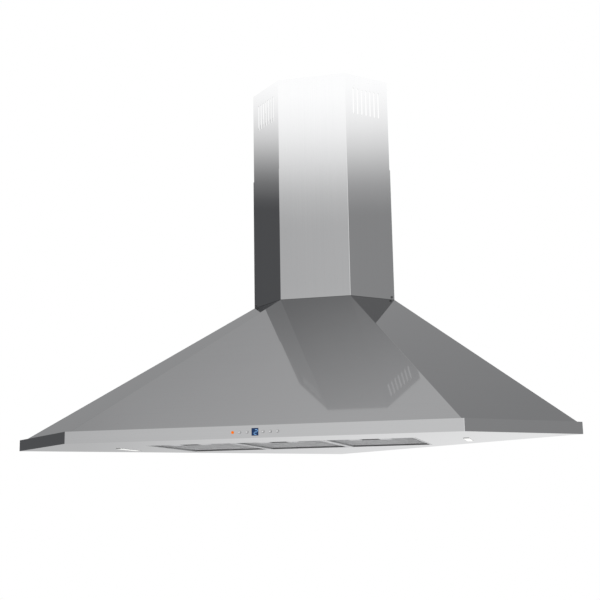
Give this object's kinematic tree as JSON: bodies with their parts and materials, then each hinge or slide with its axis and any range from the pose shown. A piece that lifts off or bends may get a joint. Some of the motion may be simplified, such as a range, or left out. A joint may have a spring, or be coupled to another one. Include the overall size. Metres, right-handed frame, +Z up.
{
  "type": "chimney range hood",
  "caption": "Corner range hood in stainless steel: flared canopy, front push-button controls, hinged grease filters and strip lamps below, and a telescopic chimney with vent slots.",
  "frame": {"origin": "on the room-corner line, at the height of the hood's underside", "axes": "+X to the right along the hood's front edge, +Y into the room corner, +Z up; the walls are y = -|x|"},
  "size_m": [1.4142, 0.9558, 1.1048],
  "materials": {
    "stainless": "fine brushed",
    "galvanised": "galvanised sheet",
    "filter_frame": "satin",
    "filter_mesh": "expanded mesh",
    "dark_plastic": "matt",
    "latch_plastic": "matt",
    "lamp_lens": "opal",
    "display_glass": "tinted window",
    "button_metal": "satin",
    "circuit_board": "solder mask",
    "motor_metal": "painted",
    "fastener": "zinc plated",
    "cable": "sheath"
  },
  "bodies": {
    "hood": {"rim_band": "stainless", "canopy_shell": "stainless", "bottom_panel": "stainless", "left_back_plate": "galvanised", "right_back_plate": "galvanised", "duct_plate": "galvanised", "lower_chimney": "stainless", "chimney_bracket": "galvanised", "chimney_screws": "fastener", "outlet_collar": "dark_plastic", "flap_pin": "fastener", "plate_screws": "fastener", "left_scroll_half": "dark_plastic", "right_scroll_half": "dark_plastic", "blower_bolts": "fastener", "motor": "motor_metal", "motor_mount": "galvanised", "motor_screws": "fastener", "electronics_box": "dark_plastic", "electronics_lid": "dark_plastic", "power_board": "circuit_board", "box_screws": "fastener", "mains_inlet_gland": "dark_plastic", "control_housing": "dark_plastic", "control_board": "circuit_board", "display": "display_glass", "left_lamp_holder": "dark_plastic", "left_lamp_lens": "lamp_lens", "left_lamp_board": "circuit_board", "right_lamp_holder": "dark_plastic", "right_lamp_lens": "lamp_lens", "right_lamp_board": "circuit_board", "control_cable": "cable", "left_lamp_cable": "cable", "right_lamp_cable": "cable", "motor_cable": "cable"},
    "upper_cover": {"upper_chimney": "stainless"},
    "wheel": {"impeller": "dark_plastic", "motor_shaft": "fastener"},
    "left_damper": {"left_flap": "dark_plastic"},
    "right_damper": {"right_flap": "dark_plastic"},
    "left_filter": {"left_filter_frame": "filter_frame", "left_filter_mesh": "filter_mesh"},
    "left_latch": {"left_filter_latch": "latch_plastic"},
    "middle_filter": {"middle_filter_frame": "filter_frame", "middle_filter_mesh": "filter_mesh"},
    "middle_latch": {"middle_filter_latch": "latch_plastic"},
    "right_filter": {"right_filter_frame": "filter_frame", "right_filter_mesh": "filter_mesh"},
    "right_latch": {"right_filter_latch": "latch_plastic"},
    "power_button": {"power_button": "button_metal"},
    "light_button": {"light_button": "button_metal"},
    "slower_button": {"slower_button": "button_metal"},
    "faster_button": {"faster_button": "button_metal"},
    "timer_button": {"timer_button": "button_metal"},
    "filter_button": {"filter_button": "button_metal"}
  },
  "joints": [
    {"name": "upper_chimney_slide", "type": "slide", "parent": "hood", "child": "upper_cover", "axis": [0, 0, 1], "range_m": [-0.26, 0.06]},
    {"name": "impeller_spin", "type": "hinge", "parent": "hood", "child": "wheel", "pos_m": [0, -0.253, 0.25], "axis": [1, 0, 0], "continuous": true},
    {"name": "left_flap_hinge", "type": "hinge", "parent": "hood", "child": "left_damper", "pos_m": [0, -0.187, 0.447], "axis": [0, 1, 0], "range_deg": [0, 75]},
    {"name": "right_flap_hinge", "type": "hinge", "parent": "hood", "child": "right_damper", "pos_m": [0, -0.187, 0.447], "axis": [0, -1, 0], "range_deg": [0, 75]},
    {"name": "left_filter_hinge", "type": "hinge", "parent": "hood", "child": "left_filter", "pos_m": [-0.222, -0.42159, 0.0004], "axis": [1, 0, 0], "range_deg": [0, 75]},
    {"name": "left_latch_slide", "type": "slide", "parent": "left_filter", "child": "left_latch", "axis": [0, 1, 0], "range_m": [0, 0.006], "stiffness_N_per_m": 300, "springref_m": -0.003},
    {"name": "middle_filter_hinge", "type": "hinge", "parent": "hood", "child": "middle_filter", "pos_m": [0, -0.42159, 0.0004], "axis": [1, 0, 0], "range_deg": [0, 75]},
    {"name": "middle_latch_slide", "type": "slide", "parent": "middle_filter", "child": "middle_latch", "axis": [0, 1, 0], "range_m": [0, 0.006], "stiffness_N_per_m": 300, "springref_m": -0.003},
    {"name": "right_filter_hinge", "type": "hinge", "parent": "hood", "child": "right_filter", "pos_m": [0.222, -0.42159, 0.0004], "axis": [1, 0, 0], "range_deg": [0, 75]},
    {"name": "right_latch_slide", "type": "slide", "parent": "right_filter", "child": "right_latch", "axis": [0, 1, 0], "range_m": [0, 0.006], "stiffness_N_per_m": 300, "springref_m": -0.003},
    {"name": "power_button_press", "type": "slide", "parent": "hood", "child": "power_button", "axis": [0, 1, 0], "range_m": [0, 0.0008], "stiffness_N_per_m": 1500, "springref_m": -0.0004},
    {"name": "light_button_press", "type": "slide", "parent": "hood", "child": "light_button", "axis": [0, 1, 0], "range_m": [0, 0.0008], "stiffness_N_per_m": 1500, "springref_m": -0.0004},
    {"name": "slower_button_press", "type": "slide", "parent": "hood", "child": "slower_button", "axis": [0, 1, 0], "range_m": [0, 0.0008], "stiffness_N_per_m": 1500, "springref_m": -0.0004},
    {"name": "faster_button_press", "type": "slide", "parent": "hood", "child": "faster_button", "axis": [0, 1, 0], "range_m": [0, 0.0008], "stiffness_N_per_m": 1500, "springref_m": -0.0004},
    {"name": "timer_button_press", "type": "slide", "parent": "hood", "child": "timer_button", "axis": [0, 1, 0], "range_m": [0, 0.0008], "stiffness_N_per_m": 1500, "springref_m": -0.0004},
    {"name": "filter_button_press", "type": "slide", "parent": "hood", "child": "filter_button", "axis": [0, 1, 0], "range_m": [0, 0.0008], "stiffness_N_per_m": 1500, "springref_m": -0.0004}
  ]
}
